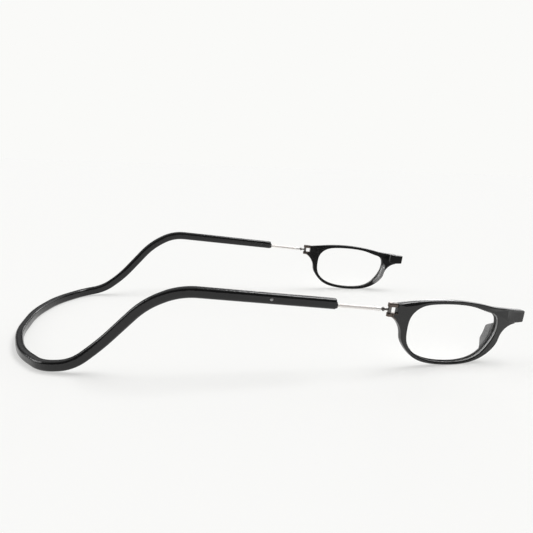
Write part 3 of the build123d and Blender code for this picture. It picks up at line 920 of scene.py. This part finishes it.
# Table, light and camera. A pale matt table in front of an equally pale wall, soft light from a
# bright ceiling, pale walls and two broad lamps, and a camera where the photograph's stood.
table_size, table_drop = 6, 0.05
bpy.ops.mesh.primitive_plane_add(size=table_size, location=(0, 0, -table_drop * mm))
table = bpy.context.object
table.name = "table"
table_pale, shader, nodes, links = finish("table_pale", (0.93, 0.93, 0.92), 0.9)
shader.inputs["Specular IOR Level"].default_value = 0
# The table's own glow hides its edge against the backdrop. Only the camera, glossy and clear
# surfaces see it.
glow = nodes.new("ShaderNodeEmission")
glow.inputs["Color"].default_value = (1, 1, 0.985, 1)
glow.inputs["Strength"].default_value = 0.965
glow_share = 0.55
table_mix = nodes.new("ShaderNodeMixShader")
table_ray = nodes.new("ShaderNodeLightPath")
looked_at = nodes.new("ShaderNodeMath")
looked_at.operation = "MAXIMUM"
looked_through = nodes.new("ShaderNodeMath")
looked_through.operation = "MAXIMUM"
glow_part = nodes.new("ShaderNodeMath")
glow_part.operation = "MULTIPLY"
glow_part.inputs[1].default_value = glow_share
links.new(table_ray.outputs["Is Camera Ray"], looked_at.inputs[0])
links.new(table_ray.outputs["Is Glossy Ray"], looked_at.inputs[1])
links.new(looked_at.outputs[0], looked_through.inputs[0])
links.new(table_ray.outputs["Is Transmission Ray"], looked_through.inputs[1])
links.new(looked_through.outputs[0], glow_part.inputs[0])
links.new(glow_part.outputs[0], table_mix.inputs[0])
links.new(shader.outputs[0], table_mix.inputs[1])
links.new(glow.outputs[0], table_mix.inputs[2])
links.new(table_mix.outputs[0], nodes["Material Output"].inputs["Surface"])
table.data.materials.append(table_pale)

world = bpy.data.worlds.new("room")
bpy.context.scene.world = world
world.use_nodes = True
nodes, links = world.node_tree.nodes, world.node_tree.links
backdrop = nodes["Background"]
backdrop.inputs["Color"].default_value = (0.956, 0.956, 0.94, 1)
backdrop.inputs["Strength"].default_value = 1
ceiling_way = Vector((-0.1, 0.36, 0.93))
ray_way = nodes.new("ShaderNodeTexCoord")
ceiling_lean = nodes.new("ShaderNodeVectorMath")
ceiling_lean.operation = "DOT_PRODUCT"
ceiling_lean.inputs[1].default_value = ceiling_way.normalized()
links.new(ray_way.outputs["Generated"], ceiling_lean.inputs[0])
ceiling = nodes.new("ShaderNodeMapRange")
ceiling.interpolation_type = "SMOOTHSTEP"
ceiling.inputs["From Min"].default_value = 0.55
ceiling.inputs["From Max"].default_value = 0.85
ceiling.inputs["To Min"].default_value = 0.12
ceiling.inputs["To Max"].default_value = 0.95
links.new(ceiling_lean.outputs["Value"], ceiling.inputs["Value"])
# Pale walls low behind, which upper faces reflect: their bearing from +Y, height, inner and outer
# radius in degrees, and strength
pale_walls = [(44, 14, 14, 26, 1.5), (30, 14.5, 3, 7, 5.0), (14, 9, 3, 7, 3.0)]
light = ceiling.outputs["Result"]
for bearing, height, inner, outer, strength in pale_walls:
    wall_lean = nodes.new("ShaderNodeVectorMath")
    wall_lean.operation = "DOT_PRODUCT"
    turn = Matrix.Rotation(radians(-bearing), 3, "Z") @ Matrix.Rotation(radians(height), 3, "X")
    wall_lean.inputs[1].default_value = turn @ Vector((0, 1, 0))
    links.new(ray_way.outputs["Generated"], wall_lean.inputs[0])
    wall = nodes.new("ShaderNodeMapRange")
    wall.interpolation_type = "SMOOTHSTEP"
    wall.inputs["From Min"].default_value = cos(radians(outer))
    wall.inputs["From Max"].default_value = cos(radians(inner))
    wall.inputs["To Max"].default_value = strength
    links.new(wall_lean.outputs["Value"], wall.inputs["Value"])
    with_wall = nodes.new("ShaderNodeMath")
    links.new(light, with_wall.inputs[0])
    links.new(wall.outputs["Result"], with_wall.inputs[1])
    light = with_wall.outputs[0]
# The camera and the lenses see the even backdrop, and all else is lit by the room
room = nodes.new("ShaderNodeBackground")
links.new(light, room.inputs["Strength"])
room_ray = nodes.new("ShaderNodeLightPath")
seen = nodes.new("ShaderNodeMath")
seen.operation = "MAXIMUM"
links.new(room_ray.outputs["Is Camera Ray"], seen.inputs[0])
links.new(room_ray.outputs["Is Transmission Ray"], seen.inputs[1])
choice = nodes.new("ShaderNodeMixShader")
links.new(seen.outputs[0], choice.inputs[0])
links.new(room.outputs[0], choice.inputs[1])
links.new(backdrop.outputs[0], choice.inputs[2])
links.new(choice.outputs[0], nodes["World Output"].inputs["Surface"])

# Two soft lamps: strength, width in degrees, and the way to them
for name, energy, spread, lamp_way in (("key", 0.7, 30, (-0.9, 0.2, 0.34)),
                                       ("top", 1.7, 28, (0.47, 0.12, 0.87))):
    lamp_data = bpy.data.lights.new(name, "SUN")
    lamp_data.angle = radians(spread)
    lamp_data.energy = energy
    lamp = bpy.data.objects.new(name, lamp_data)
    bpy.context.collection.objects.link(lamp)
    lamp.rotation_euler = (-Vector(lamp_way)).to_track_quat("-Z", "Y").to_euler()

# The camera that was fitted to the photograph, with its focal length and picture width in pixels
camera_place = Vector((-47.91, -272.4, 92.284)) * mm
yaw, pitch, roll = radians(11.48), radians(12.36), radians(2.26)
focal_length, picture_width = 520.1, 533
look = Vector((sin(yaw) * cos(pitch), cos(yaw) * cos(pitch), -sin(pitch)))
level = Vector((cos(yaw), -sin(yaw), 0))
rise = level.cross(look)
right = level * cos(roll) + rise * sin(roll)
above = right.cross(look)
camera_data = bpy.data.cameras.new("camera")
camera_data.sensor_width = 36
camera_data.lens = focal_length / picture_width * camera_data.sensor_width
camera_data.clip_start = 0.01
camera = bpy.data.objects.new("camera", camera_data)
bpy.context.collection.objects.link(camera)
turn = Matrix((right, above, -look)).transposed().to_4x4()
camera.matrix_world = Matrix.Translation(camera_place) @ turn
bpy.context.scene.camera = camera
bpy.context.scene.view_settings.view_transform = "Standard"
